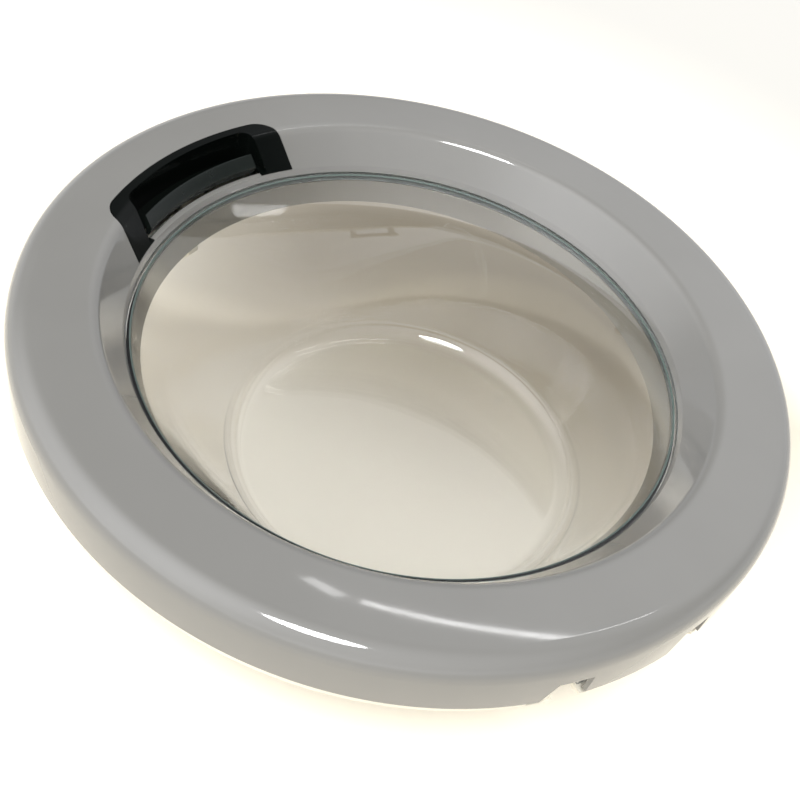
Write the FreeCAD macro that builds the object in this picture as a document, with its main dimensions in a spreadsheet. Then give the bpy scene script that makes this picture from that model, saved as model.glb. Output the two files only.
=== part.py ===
import FreeCAD, Part
import math
import os
import re

import Sketcher

# Front-loading washing machine door, closed, seen from the front: X right, Y up, Z out of the machine.
# Z = 0 is the face of the machine's cabinet, and the door's axis runs through the origin.

os.makedirs("parts", exist_ok=True)
Vector = FreeCAD.Vector
doc = FreeCAD.newDocument("washing_machine_door")

# Driving dimensions in millimetres and degrees

SIZES = {
    # Front ring
    "outer_radius": 235,
    "ring_height": 46,
    "crest_rise": 0.5,
    "skirt_draft": 1,
    "wall": 2.8,
    "shoulder_round": 14,
    "lip_radius": 171,
    "lip_top": 24.5,
    "lip_taper": 1,
    "slope_run": 15.5,
    "slope_wall": 3.5,
    "crest_round": 9,
    "rib_wall": 2,
    # Rear ring
    "rear_height": 8,
    "rear_inset": 3,
    "rear_floor": 3,
    "rear_round": 3.5,
    "spigot_height": 14,
    "spigot_wall": 2.6,
    "seat_wall": 2.6,
    "locator_rise": 1.3,
    # Glass bowl
    "glass_top": 20.2,
    "flange_thick": 6.5,
    "flange_grip": 7.5,
    "mouth_step": 4.5,
    "collar_depth": 28.2,
    "collar_taper": 13,
    "glass_wall": 5.5,
    "bowl_depth": 85,
    "bowl_taper": 38.5,
    "floor_drop": 23.5,
    "floor_round": 16,
    # Clamping screws
    "screw_count": 7,
    "screw_step": 45,
    "screw_inset": 1,
    "boss_radius": 4.6,
    "post_height": 5.2,
    "shank_radius": 2,
    "shank_length": 15,
    "head_radius": 3.9,
    "head_height": 2.2,
    "well_radius": 4.6,
    # Handle
    "handle_angle": 23,
    "window_rise": 12.5,
    "window_half": 73,
    "window_round": 16,
    "cup_wall": 2.5,
    "tub_wall": 2.2,
    "hollow_far": 8,
    "hollow_half": 55,
    "hollow_round": 9,
    "hollow_floor": 25.5,
    "cup_screw_reach": 9,
    "cup_screw_side": 62.5,
    # Grip lever, hook and their pin
    "pivot_reach": 16.5,
    "pivot_height": 14.5,
    "lever_pin_radius": 2.5,
    "lever_pin_half": 35,
    "hub_radius": 4.5,
    "bar_half": 49,
    "bar_near": 4.2,
    "bar_far": 10,
    "bar_foot": 24.2,
    "ear_side": 22,
    "ear_wall": 5,
    "lug_side": 31,
    "lug_wall": 5,
    "hook_wall": 9,
    "hook_depth": 32,
    "barb_reach": 11,
    "spring_wire": 0.75,
    "spring_radius": 4.2,
    "spring_turns": 4,
    "spring_leg": 5.5,
    # Hinge
    "hinge_inset": 16,
    "hinge_height": 15.5,
    "knuckle_side": 40.3,
    "knuckle_width": 12,
    "knuckle_radius": 6,
    "bush_radius": 4.3,
    "hinge_pin_radius": 3,
    "hinge_pin_half": 57,
    "pin_head_radius": 4.8,
    "pin_head_height": 2,
    "clip_thick": 1,
    "clip_groove": 0.6,
    "notch_top": 24,
    "notch_up": 20,
    "notch_taper": 8,
    "arm_half": 4,
    "plate_gap": 8,
    "plate_thick": 3.5,
    "plate_near": 9,
    "plate_width": 30,
    "plate_half": 48,
    "plate_round": 8,
    "bolt_radius": 2.75,
    "bolt_pitch_x": 16,
    "bolt_pitch_y": 56,
    "cheek_wall": 4,
    "saddle_thick": 2,
    "saddle_half": 31,
    "saddle_reach": 16,
    "saddle_screw_side": 15,
    "saddle_screw_reach": 12,
    # Clearances
    "seam_gap": 0.2,
    "fit_gap": 0.4,
    "turn_gap": 0.05,
    "swing_gap": 1.8,
}

sheet = doc.addObject("Spreadsheet::Sheet", "Sizes")
for row, (alias, number) in enumerate(SIZES.items(), start=1):
    sheet.set(f"A{row}", alias)
    sheet.set(f"B{row}", str(number))
    sheet.setAlias(f"B{row}", alias)
doc.recompute()

# Places that several pieces share, written once in terms of the sheet

CREST_RADIUS = "(lip_radius + slope_run)"
CREST_HEIGHT = "(ring_height + crest_rise)"
SLOPE = "(ring_height + crest_rise - lip_top) / slope_run"
SKIRT_EDGE = "(rear_height + seam_gap)"
SEAT = "(glass_top - flange_thick)"
FLANGE_RADIUS = "(lip_radius + flange_grip)"
MOUTH = "(lip_radius - mouth_step)"
COLLAR_FOOT = "(glass_top - collar_depth)"
NECK = "(lip_radius - mouth_step - collar_taper)"
REAR_RADIUS = "(outer_radius - rear_inset)"
SPIGOT_RADIUS = "(outer_radius - skirt_draft - wall - fit_gap)"
SEAT_EDGE = "(lip_radius + flange_grip + fit_gap + seat_wall)"
SPIGOT_EDGE = "(outer_radius - skirt_draft - wall - fit_gap - spigot_wall)"
SCREW_CIRCLE = f"(({SEAT_EDGE} + {SPIGOT_EDGE}) / 2 - screw_inset)"
FLOOR_RADIUS = "(lip_radius - mouth_step - collar_taper - bowl_taper)"
PIVOT = "(lip_radius + pivot_reach)"
CUP_SCREW = "(lip_radius + cup_screw_reach)"
WINDOW_RADIUS = "(lip_radius + slope_run + window_rise)"
HINGE_X = "-(outer_radius - hinge_inset)"
PLATE_NEAR_X = "(plate_near - outer_radius + hinge_inset)"


def bound(words):
    """An expression with every alias tied to the sheet."""
    return re.sub(r"[a-z]\w*", lambda m: "Sizes." + m.group() if m.group() in SIZES else m.group(), words)


def value(words):
    return float(sheet.evalExpression(bound(words)))


# Sketch helpers

def new_body(name):
    body = doc.addObject("PartDesign::Body", name)
    body.Label = name
    return body


def origin_part(body, role):
    return next(item for item in body.Origin.OriginFeatures if item.Role == role)


def plane_sketch(body, name, role, rise="0", turn="0", axis=Vector(0, 0, 1)):
    """A sketch on an origin plane, raised along its normal and turned about an axis of its own."""
    sketch = body.newObject("Sketcher::SketchObject", name)
    sketch.AttachmentSupport = [(origin_part(body, role), "")]
    sketch.MapMode = "FlatFace"
    turned = FreeCAD.Rotation(axis, value(turn))
    sketch.AttachmentOffset = FreeCAD.Placement(Vector(0, 0, value(rise)), turned)
    if rise != "0":
        sketch.setExpression("AttachmentOffset.Base.z", bound(rise))
    if turn != "0":
        sketch.setExpression("AttachmentOffset.Rotation.Angle", bound(turn))
    return sketch


def free_sketch(name, upright=False):
    """A sketch of the document itself, in XY or, upright, in XZ."""
    sketch = doc.addObject("Sketcher::SketchObject", name)
    if upright:
        sketch.Placement = FreeCAD.Placement(Vector(), FreeCAD.Rotation(Vector(1, 0, 0), 90))
    return sketch


def fix(sketch, kind, words, *where):
    index = sketch.addConstraint(Sketcher.Constraint(kind, *where, value(words)))
    sketch.setExpression(f"Constraints[{index}]", bound(words))


def outline(sketch, corners):
    """A closed outline of straight lines whose corners follow the sheet."""
    spots = [Vector(value(x), value(y), 0) for x, y in corners]
    count = len(spots)
    lines = [
        sketch.addGeometry(Part.LineSegment(spots[i], spots[(i + 1) % count]), False)
        for i in range(count)
    ]
    for i in range(count):
        sketch.addConstraint(Sketcher.Constraint("Coincident", lines[i], 2, lines[(i + 1) % count], 1))
    for line, (x, y) in zip(lines, corners):
        fix(sketch, "DistanceX", x, -1, 1, line, 1)
        fix(sketch, "DistanceY", y, -1, 1, line, 1)


def disc(sketch, x, y, radius):
    spot = Vector(value(x), value(y), 0)
    ring = sketch.addGeometry(Part.Circle(spot, Vector(0, 0, 1), value(radius)), False)
    fix(sketch, "DistanceX", x, -1, 1, ring, 3)
    fix(sketch, "DistanceY", y, -1, 1, ring, 3)
    fix(sketch, "Radius", radius, ring)


def axis_line(sketch, x):
    """A construction line parallel to the sketch's height, as the axis of a revolution."""
    spot = value(x)
    line = Part.LineSegment(Vector(spot, -1, 0), Vector(spot, 1, 0))
    index = sketch.addGeometry(line, True)
    sketch.addConstraint(Sketcher.Constraint("Vertical", index))
    fix(sketch, "DistanceX", x, -1, 1, index, 1)
    fix(sketch, "DistanceY", "-1", -1, 1, index, 1)
    fix(sketch, "DistanceY", "1", -1, 1, index, 2)


def bay(sketch, near, half, far, corner):
    """Two parallel sides closed by an arc about the door's axis, with rounded far corners."""
    inner, side, reach, soft = value(near), value(half), value(far), value(corner)
    centre = math.sqrt((reach - soft) ** 2 - (side - soft) ** 2)
    tilt = math.atan2(side - soft, centre)
    up = Vector(0, 0, 1)
    low = sketch.addGeometry(Part.LineSegment(Vector(inner, -side, 0), Vector(centre, -side, 0)), False)
    low_round = Part.Circle(Vector(centre, soft - side, 0), up, soft)
    low_arc = sketch.addGeometry(Part.ArcOfCircle(low_round, -math.pi / 2, -tilt), False)
    far_arc = sketch.addGeometry(Part.ArcOfCircle(Part.Circle(Vector(), up, reach), -tilt, tilt), False)
    top_round = Part.Circle(Vector(centre, side - soft, 0), up, soft)
    top_arc = sketch.addGeometry(Part.ArcOfCircle(top_round, tilt, math.pi / 2), False)
    top = sketch.addGeometry(Part.LineSegment(Vector(centre, side, 0), Vector(inner, side, 0)), False)
    back = sketch.addGeometry(Part.LineSegment(Vector(inner, side, 0), Vector(inner, -side, 0)), False)
    chain = [(low, 2, low_arc, 1), (low_arc, 2, far_arc, 1), (far_arc, 2, top_arc, 1), (top_arc, 2, top, 1)]
    for joint in chain:
        sketch.addConstraint(Sketcher.Constraint("Tangent", *joint))
    sketch.addConstraint(Sketcher.Constraint("Coincident", top, 2, back, 1))
    sketch.addConstraint(Sketcher.Constraint("Coincident", back, 2, low, 1))
    sketch.addConstraint(Sketcher.Constraint("Coincident", far_arc, 3, -1, 1))
    sketch.addConstraint(Sketcher.Constraint("Vertical", back))
    sketch.addConstraint(Sketcher.Constraint("Equal", low_arc, top_arc))
    fix(sketch, "Radius", far, far_arc)
    fix(sketch, "Radius", corner, low_arc)
    fix(sketch, "DistanceX", near, -1, 1, low, 1)
    fix(sketch, "DistanceY", "-(" + half + ")", -1, 1, low, 1)
    fix(sketch, "DistanceY", half, -1, 1, back, 1)


# Feature helpers

def feature(body, kind, name, sketch, **words):
    made = body.newObject("PartDesign::" + kind, name)
    made.Profile = sketch
    for prop, text in words.items():
        made.setExpression(prop, bound(text))
    sketch.Visibility = False
    return made


def revolve(body, name, sketch, axis="V_Axis"):
    made = feature(body, "Revolution", name, sketch)
    made.ReferenceAxis = (sketch, [axis])
    doc.recompute()
    return made


def pad(body, name, sketch, length, midplane=False):
    made = feature(body, "Pad", name, sketch, Length=length)
    made.Midplane = midplane
    doc.recompute()
    return made


def pocket(body, name, sketch, length, forward=False, midplane=False):
    """A cut against the sketch's normal or, forward, along it."""
    made = feature(body, "Pocket", name, sketch, Length=length)
    made.Reversed = forward
    made.Midplane = midplane
    doc.recompute()
    return made


def soften(body, name, base, edges, radius):
    made = body.newObject("PartDesign::Fillet", name)
    made.Base = (base, edges)
    made.setExpression("Radius", bound(radius))
    doc.recompute()
    return made


def polar(body, name, features, count, angle):
    made = body.newObject("PartDesign::PolarPattern", name)
    made.Originals = features
    made.Axis = (origin_part(body, "Z_Axis"), [""])
    body.Tip = made
    made.setExpression("Occurrences", bound(count))
    made.setExpression("Angle", bound(angle))
    doc.recompute()
    return made


def mirror(body, name, features, role="XZ_Plane"):
    made = body.newObject("PartDesign::Mirrored", name)
    made.Originals = features
    made.MirrorPlane = (origin_part(body, role), [""])
    body.Tip = made
    doc.recompute()
    return made


def round_edges(shape, *spots):
    """Names of the circular edges with these radii and heights."""
    wanted = [(value(radius), value(height)) for radius, height in spots]
    names = []
    for index, edge in enumerate(shape.Edges, start=1):
        if not isinstance(edge.Curve, Part.Circle):
            continue
        here = (edge.Curve.Radius, edge.Curve.Center.z)
        if any(math.dist(here, spot) < 1e-4 for spot in wanted):
            names.append(f"Edge{index}")
    return names


def upright_edges(shape, test):
    """Names of the straight edges along Z whose place passes a test."""
    names = []
    for index, edge in enumerate(shape.Edges, start=1):
        start, end = edge.Vertexes[0].Point, edge.Vertexes[-1].Point
        if math.dist(start[:2], end[:2]) < 1e-6 and abs(start.z - end.z) > 1e-3 and test(start):
            names.append(f"Edge{index}")
    return names


def turn_with_handle(item):
    """Swings a piece that was drawn on the X axis to the handle's place on the ring."""
    item.Placement = FreeCAD.Placement(Vector(), FreeCAD.Rotation(Vector(0, 0, 1), value("handle_angle")))
    item.setExpression("Placement.Rotation.Angle", bound("handle_angle"))


def part_object(kind, name, **words):
    made = doc.addObject("Part::" + kind, name)
    for prop, text in words.items():
        made.setExpression(prop, bound(text))
    return made


def spun(name, corners, angle="80"):
    """A profile of radius and height turned about the door's axis, centred on X."""
    sketch = free_sketch(name + "_profile", upright=True)
    outline(sketch, corners)
    made = part_object("Revolution", name, Angle=angle)
    made.Source = sketch
    made.Axis = Vector(0, 0, 1)
    made.Symmetric = True
    made.Solid = True
    return made


def raised(name, sketch, low, high):
    """A sketch in XY as a prism between two heights."""
    made = part_object("Extrusion", name, LengthFwd=high, LengthRev="-(" + low + ")")
    made.Base = sketch
    made.DirMode = "Custom"
    made.Dir = Vector(0, 0, 1)
    made.Solid = True
    return made


def across(name, corners, side, width):
    """A profile of reach and height as a plate centred at a side distance."""
    sketch = free_sketch(name + "_profile", upright=True)
    outline(sketch, corners)
    half = "(" + width + ") / 2"
    made = part_object("Extrusion", name, LengthFwd=f"{side} + {half}", LengthRev=f"{half} - ({side})")
    made.Base = sketch
    made.DirMode = "Custom"
    made.Dir = Vector(0, 1, 0)
    made.Solid = True
    return made


def rod(name, reach, height, side, radius, length):
    """A round bar along Y, centred at a side distance."""
    made = part_object("Cylinder", name, Radius=radius, Height=length)
    made.Placement = FreeCAD.Placement(Vector(), FreeCAD.Rotation(Vector(1, 0, 0), -90))
    made.setExpression("Placement.Base.x", bound(reach))
    made.setExpression("Placement.Base.y", bound(f"{side} - ({length}) / 2"))
    made.setExpression("Placement.Base.z", bound(height))
    return made


def post(name, reach, side, low, radius, length):
    """A round bar along Z."""
    made = part_object("Cylinder", name, Radius=radius, Height=length)
    made.setExpression("Placement.Base.x", bound(reach))
    made.setExpression("Placement.Base.y", bound(side))
    made.setExpression("Placement.Base.z", bound(low))
    return made


def joined(name, items):
    made = doc.addObject("Part::MultiFuse", name)
    made.Shapes = items
    made.Refine = True
    return made


def common(name, items):
    made = doc.addObject("Part::MultiCommon", name)
    made.Shapes = items
    return made


def less(name, base, tool):
    made = doc.addObject("Part::Cut", name)
    made.Base = base
    made.Tool = tool
    made.Refine = True
    return made


# Front ring: one moulding, turned from its section, then opened for the handle and the hinge

def make_front_ring():
    body = new_body("front_ring")
    inner_height = "(ring_height + crest_rise - wall)"
    inner_crest = f"(lip_radius + slope_wall + ({inner_height} - lip_top) / ({SLOPE}))"
    section = plane_sketch(body, "ring_section", "XZ_Plane")
    outline(section, [
        ("outer_radius - skirt_draft", SKIRT_EDGE),
        ("outer_radius", "ring_height"),
        (CREST_RADIUS, CREST_HEIGHT),
        ("lip_radius", "lip_top"),
        ("lip_radius - lip_taper", "glass_top + seam_gap"),
        ("lip_radius - lip_taper + slope_wall", "glass_top + seam_gap"),
        ("lip_radius + slope_wall", "lip_top"),
        (inner_crest, inner_height),
        ("outer_radius - wall", "ring_height - wall"),
        ("outer_radius - skirt_draft - wall", SKIRT_EDGE),
    ])
    shell = revolve(body, "ring_shell", section)
    outer_edge = round_edges(shell.Shape, ("outer_radius", "ring_height"))
    shoulder = soften(body, "ring_shoulder", shell, outer_edge, "shoulder_round")
    inner_edge = round_edges(shoulder.Shape, ("outer_radius - wall", "ring_height - wall"))
    hollow = soften(body, "ring_shoulder_inside", shoulder, inner_edge, "shoulder_round - wall")
    crest_edge = round_edges(hollow.Shape, (CREST_RADIUS, CREST_HEIGHT))
    crest = soften(body, "ring_crest", hollow, crest_edge, "crest_round")
    crest_inside = round_edges(crest.Shape, (inner_crest, inner_height))
    soften(body, "ring_crest_inside", crest, crest_inside, "crest_round - wall")

    window = plane_sketch(body, "handle_window", "XY_Plane", "lip_top", "handle_angle")
    bay(window, "lip_radius * 0.7", "window_half", WINDOW_RADIUS, "window_round")
    pocket(body, "window_cut", window, "ring_height", forward=True)

    for name, middle in (("upper", "knuckle_side"), ("lower", "-knuckle_side")):
        low = f"{middle} - knuckle_width / 2 - swing_gap"
        notch = plane_sketch(body, name + "_notch", "YZ_Plane", f"{HINGE_X} + knuckle_radius / 2")
        outline(notch, [
            (low, "rear_height - rear_floor"),
            (f"{middle} + notch_up", "rear_height - rear_floor"),
            (f"{middle} + notch_up - notch_taper", "notch_top"),
            (low, "notch_top"),
        ])
        pocket(body, name + "_notch_cut", notch, "hinge_inset * 2")

    boss = plane_sketch(body, "boss_place", "XY_Plane", "post_height + seam_gap", "handle_angle + screw_step")
    disc(boss, SCREW_CIRCLE, "0", "boss_radius")
    boss_pad = pad(body, "boss", boss, "ring_height - wall / 2 - post_height - seam_gap")
    bore = plane_sketch(body, "bore_place", "XY_Plane", "post_height + seam_gap", "handle_angle + screw_step")
    disc(bore, SCREW_CIRCLE, "0", "shank_radius + turn_gap")
    bore_cut = pocket(body, "boss_bore", bore, "shank_length", forward=True)
    sweep = "screw_step * (screw_count - 1)"
    polar(body, "bosses", [boss_pad, bore_cut], "screw_count", sweep)

    between = "handle_angle + screw_step * 1.5"
    rib = plane_sketch(body, "rib_outline", "XZ_Plane", "0", between, Vector(0, 1, 0))
    outline(rib, [
        (f"{inner_crest} - wall / 2", "ring_height - slope_run"),
        ("outer_radius - wall / 2 - skirt_draft", "ring_height - slope_run"),
        ("outer_radius - shoulder_round", "ring_height - wall / 2"),
        (f"{inner_crest} + wall", "ring_height - wall / 2"),
    ])
    rib_pad = pad(body, "rib", rib, "rib_wall", midplane=True)
    polar(body, "ribs", [rib_pad], "screw_count - 1", "screw_step * (screw_count - 2)")
    return body


# Rear ring: carries the glass on its inner wall and the hinge pin in two cheeks

def make_rear_ring():
    body = new_body("rear_ring")
    slant = "(collar_taper / collar_depth)"
    bore_top = f"({MOUTH} + glass_wall - flange_thick * {slant} + fit_gap * 2)"
    bore_foot = f"({bore_top} - {SEAT} * {slant})"
    locator = f"({FLANGE_RADIUS} + fit_gap)"
    section = plane_sketch(body, "rear_section", "XZ_Plane")
    outline(section, [
        (bore_foot, "0"),
        (REAR_RADIUS, "0"),
        (REAR_RADIUS, "rear_height"),
        (SPIGOT_RADIUS, "rear_height"),
        (SPIGOT_RADIUS, "spigot_height"),
        (f"{SPIGOT_RADIUS} - spigot_wall", "spigot_height"),
        (f"{SPIGOT_RADIUS} - spigot_wall", "rear_floor"),
        (f"{locator} + seat_wall", "rear_floor"),
        (f"{locator} + seat_wall", f"{SEAT} + locator_rise"),
        (locator, f"{SEAT} + locator_rise"),
        (locator, "rear_floor"),
        (f"{bore_foot} + seat_wall + rear_floor * {slant}", "rear_floor"),
        (f"{bore_top} + seat_wall", SEAT),
        (bore_top, SEAT),
    ])
    shell = revolve(body, "rear_shell", section)
    rim = round_edges(shell.Shape, (REAR_RADIUS, "0"))
    soften(body, "rear_rim", shell, rim, "rear_round")

    clearing = plane_sketch(body, "hinge_clearing", "XY_Plane", "rear_floor")
    outline(clearing, [
        ("-outer_radius", "-(hinge_pin_half + knuckle_radius)"),
        (f"{HINGE_X} + saddle_reach", "-(hinge_pin_half + knuckle_radius)"),
        (f"{HINGE_X} + saddle_reach", "hinge_pin_half + knuckle_radius"),
        ("-outer_radius", "hinge_pin_half + knuckle_radius"),
    ])
    pocket(body, "hinge_clearing_cut", clearing, "ring_height", forward=True)
    for name, middle in (("upper", "knuckle_side"), ("lower", "-knuckle_side")):
        slot = plane_sketch(body, name + "_arm_slot", "XY_Plane", "rear_floor * 2")
        reach = "(knuckle_width / 2 + swing_gap)"
        outline(slot, [
            ("-outer_radius", f"{middle} - {reach}"),
            (f"{HINGE_X} + saddle_reach", f"{middle} - {reach}"),
            (f"{HINGE_X} + saddle_reach", f"{middle} + {reach}"),
            ("-outer_radius", f"{middle} + {reach}"),
        ])
        pocket(body, name + "_arm_slot_cut", slot, "rear_floor * 3")

    inside = "(knuckle_side + knuckle_width / 2 + swing_gap + seam_gap * 6)"
    cheek = plane_sketch(body, "cheek_outline", "XZ_Plane", f"-({inside} + cheek_wall)")
    outline(cheek, [
        (f"{HINGE_X} - knuckle_radius", "rear_floor / 2"),
        (f"{HINGE_X} + knuckle_radius", "rear_floor / 2"),
        (f"{HINGE_X} + knuckle_radius", "hinge_height + hinge_pin_radius + wall"),
        (f"{HINGE_X} - hinge_pin_radius", "hinge_height + hinge_pin_radius + wall"),
        (f"{HINGE_X} - knuckle_radius", "hinge_height"),
    ])
    disc(cheek, HINGE_X, "hinge_height", "hinge_pin_radius + turn_gap")
    cheek_pad = pad(body, "cheek", cheek, "cheek_wall")
    mirror(body, "cheeks", [cheek_pad])

    column = plane_sketch(body, "post_place", "XY_Plane", "rear_floor / 2", "handle_angle + screw_step")
    disc(column, SCREW_CIRCLE, "0", "well_radius + wall")
    column_pad = pad(body, "post", column, "post_height - rear_floor / 2")
    well = plane_sketch(body, "well_place", "XY_Plane", "head_height", "handle_angle + screw_step")
    disc(well, SCREW_CIRCLE, "0", "well_radius")
    well_cut = pocket(body, "well", well, "head_height * 2")
    hole = plane_sketch(body, "hole_place", "XY_Plane", "0", "handle_angle + screw_step")
    disc(hole, SCREW_CIRCLE, "0", "shank_radius + turn_gap")
    hole_cut = pocket(body, "hole", hole, "post_height * 2", forward=True)
    sweep = "screw_step * (screw_count - 1)"
    polar(body, "posts", [column_pad, well_cut, hole_cut], "screw_count", sweep)

    for name, side in (("near", "cup_screw_side"), ("far", "-cup_screw_side")):
        cup_post = plane_sketch(body, name + "_cup_post", "XY_Plane", "rear_floor / 2", "handle_angle")
        disc(cup_post, CUP_SCREW, side, "well_radius + wall / 2")
        pad(body, name + "_cup_post_pad", cup_post, "post_height - rear_floor / 2")
        cup_well = plane_sketch(body, name + "_cup_well", "XY_Plane", "head_height", "handle_angle")
        disc(cup_well, CUP_SCREW, side, "well_radius")
        pocket(body, name + "_cup_well_cut", cup_well, "head_height * 2")
        cup_hole = plane_sketch(body, name + "_cup_hole", "XY_Plane", "0", "handle_angle")
        disc(cup_hole, CUP_SCREW, side, "shank_radius + turn_gap")
        pocket(body, name + "_cup_hole_cut", cup_hole, "post_height * 2", forward=True)

    mouth = plane_sketch(body, "hook_mouth", "XY_Plane", "rear_floor * 2", "handle_angle")
    outline(mouth, [
        (f"{PIVOT} - hub_radius - turn_gap * 4", "-(hook_wall / 2 + swing_gap)"),
        (f"{PIVOT} + hub_radius * 2", "-(hook_wall / 2 + swing_gap)"),
        (f"{PIVOT} + hub_radius * 2", "hook_wall / 2 + swing_gap"),
        (f"{PIVOT} - hub_radius - turn_gap * 4", "hook_wall / 2 + swing_gap"),
    ])
    pocket(body, "hook_mouth_cut", mouth, "rear_floor * 3")
    room_half = "(lug_side + lug_wall / 2 + swing_gap)"
    room = plane_sketch(body, "lever_room", "XY_Plane", "rear_floor", "handle_angle")
    outline(room, [
        ("lip_radius - lip_taper + slope_wall", f"-{room_half}"),
        (f"{PIVOT} + hub_radius * 2", f"-{room_half}"),
        (f"{PIVOT} + hub_radius * 2", room_half),
        ("lip_radius - lip_taper + slope_wall", room_half),
    ])
    pocket(body, "lever_room_cut", room, "ring_height", forward=True)

    for name, side in (("upper", "saddle_screw_side"), ("lower", "-saddle_screw_side")):
        recess = plane_sketch(body, name + "_saddle_well", "XY_Plane", "rear_floor / 2")
        disc(recess, f"{HINGE_X} + saddle_screw_reach", side, "well_radius")
        pocket(body, name + "_saddle_well_cut", recess, "rear_floor")
        through = plane_sketch(body, name + "_saddle_hole", "XY_Plane")
        disc(through, f"{HINGE_X} + saddle_screw_reach", side, "shank_radius + turn_gap")
        pocket(body, name + "_saddle_hole_cut", through, "rear_floor * 2", forward=True)
    return body


# Glass bowl: a turned collar and flange, then an oblique bowl lofted to a lower, off-centre floor

def make_glass_bowl():
    body = new_body("glass_bowl")
    slant = "(collar_taper / collar_depth)"
    section = plane_sketch(body, "collar_section", "XZ_Plane")
    outline(section, [
        (NECK, COLLAR_FOOT),
        (f"{NECK} + glass_wall", COLLAR_FOOT),
        (f"{MOUTH} + glass_wall - flange_thick * {slant}", SEAT),
        (FLANGE_RADIUS, SEAT),
        (FLANGE_RADIUS, "glass_top"),
        (MOUTH, "glass_top"),
    ])
    revolve(body, "collar", section)

    def ring(name, radius, drop, height):
        sketch = plane_sketch(body, name, "XY_Plane", height)
        disc(sketch, "0", drop, radius)
        return sketch

    floor = f"({COLLAR_FOOT} - bowl_depth)"
    neck_ring = ring("neck_outside", f"{NECK} + glass_wall", "0", COLLAR_FOOT)
    floor_ring = ring("floor_outside", f"{FLOOR_RADIUS} + glass_wall", "-floor_drop", f"{floor} - glass_wall")
    bulk = feature(body, "AdditiveLoft", "bowl_outside", neck_ring)
    bulk.Sections = [floor_ring]
    bulk.Ruled = True
    doc.recompute()
    rim = round_edges(bulk.Shape, (f"{FLOOR_RADIUS} + glass_wall", f"{floor} - glass_wall"))
    soften(body, "outside_round", bulk, rim, "floor_round + glass_wall")

    neck_inside = ring("neck_inside", NECK, "0", COLLAR_FOOT)
    floor_inside = ring("floor_inside", FLOOR_RADIUS, "-floor_drop", floor)
    scoop = feature(body, "SubtractiveLoft", "bowl_inside", neck_inside)
    scoop.Sections = [floor_inside]
    scoop.Ruled = True
    doc.recompute()
    corner = round_edges(scoop.Shape, (FLOOR_RADIUS, floor))
    soften(body, "inside_round", scoop, corner, "floor_round")
    return body


# Handle cup: follows the ring's section, with a tub for the fingers and two lugs for the lever's pin

def make_handle_cup():
    base = "(lip_top + fit_gap)"
    near = f"(lip_radius + fit_gap / ({SLOPE}))"
    far = f"({WINDOW_RADIUS} + wall)"
    under = f"({CREST_HEIGHT} - cup_wall)"
    skin = spun("cup_skin", [
        (near, base),
        (CREST_RADIUS, CREST_HEIGHT),
        (far, CREST_HEIGHT),
        (far, under),
        (f"{near} + slope_wall + ({under} - {base}) / ({SLOPE})", under),
        (f"{near} + slope_wall", base),
    ])
    doc.recompute()
    rounded = doc.addObject("Part::Fillet", "cup_skin_round")
    rounded.Base = skin
    crest = round_edges(skin.Shape, (CREST_RADIUS, CREST_HEIGHT))
    rounded.Edges = [(int(name[4:]), value("crest_round"), value("crest_round")) for name in crest]
    doc.recompute()

    frame = free_sketch("cup_outline")
    rim = f"{WINDOW_RADIUS} - fit_gap"
    bay(frame, "lip_radius * 0.7", "window_half - fit_gap", rim, "window_round - fit_gap")
    flush = common("cup_flush", [rounded, raised("cup_frame", frame, base, "ring_height * 2")])

    tub_low = "(hollow_floor - tub_wall)"
    bar_back = "(lip_radius + bar_far + fit_gap * 3)"
    hollow_reach = f"({WINDOW_RADIUS} - hollow_far + cup_wall)"
    tub_sketch = free_sketch("tub_outline")
    tub_reach = f"{hollow_reach} + tub_wall"
    bay(tub_sketch, "lip_radius * 0.7", "hollow_half + tub_wall", tub_reach, "hollow_round + tub_wall")
    tub = common("tub", [
        raised("tub_prism", tub_sketch, tub_low, "ring_height * 2"),
        spun("tub_limit", [
            (bar_back, tub_low),
            (bar_back, f"lip_top + ({bar_back} - lip_radius) * ({SLOPE}) - cup_wall / 2"),
            (f"{CREST_RADIUS} + cup_wall", f"{CREST_HEIGHT} - cup_wall / 2"),
            (far, f"{CREST_HEIGHT} - cup_wall / 2"),
            (far, tub_low),
        ]),
    ])
    hollow_sketch = free_sketch("hollow_outline")
    bay(hollow_sketch, "lip_radius * 0.7", "hollow_half", hollow_reach, "hollow_round")
    hollow = raised("hollow_prism", hollow_sketch, "hollow_floor", "ring_height * 2")
    shell = less("cup_shell", flush, raised("mouth_prism", hollow_sketch, "0", "ring_height * 2"))

    solids = [shell, tub]
    for name, sign in (("near", ""), ("far", "-")):
        side = f"{sign}lug_side"
        solids.append(across(name + "_lug", [
            (f"{PIVOT} - hub_radius - cup_wall / 2", "pivot_height - hub_radius"),
            (f"{PIVOT} + hub_radius + cup_wall / 2", "pivot_height - hub_radius"),
            (f"{PIVOT} + hub_radius + cup_wall / 2", f"{tub_low} + tub_wall / 2"),
            (f"{PIVOT} - hub_radius - cup_wall / 4", f"{tub_low} + tub_wall / 2"),
        ], side, "lug_wall"))
        solids.append(post(name + "_cup_boss", CUP_SCREW, f"{sign}cup_screw_side",
                           "post_height + seam_gap", "boss_radius",
                           f"{CREST_HEIGHT} - cup_wall / 2 - post_height - seam_gap"))
    cuts = [hollow, rod("cup_pin_hole", PIVOT, "pivot_height", "0",
                        "lever_pin_radius + turn_gap", "lever_pin_half * 4")]
    for name, sign in (("near", ""), ("far", "-")):
        cuts.append(post(name + "_cup_bore", CUP_SCREW, f"{sign}cup_screw_side",
                         "post_height", "shank_radius + turn_gap", "shank_length + seam_gap"))
    cup = less("handle_cup", joined("cup_bulk", solids), joined("cup_cuts", cuts))
    turn_with_handle(cup)
    return cup


# Grip lever: a curved bar flush with the slope, on two ears that turn on the pin

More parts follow.
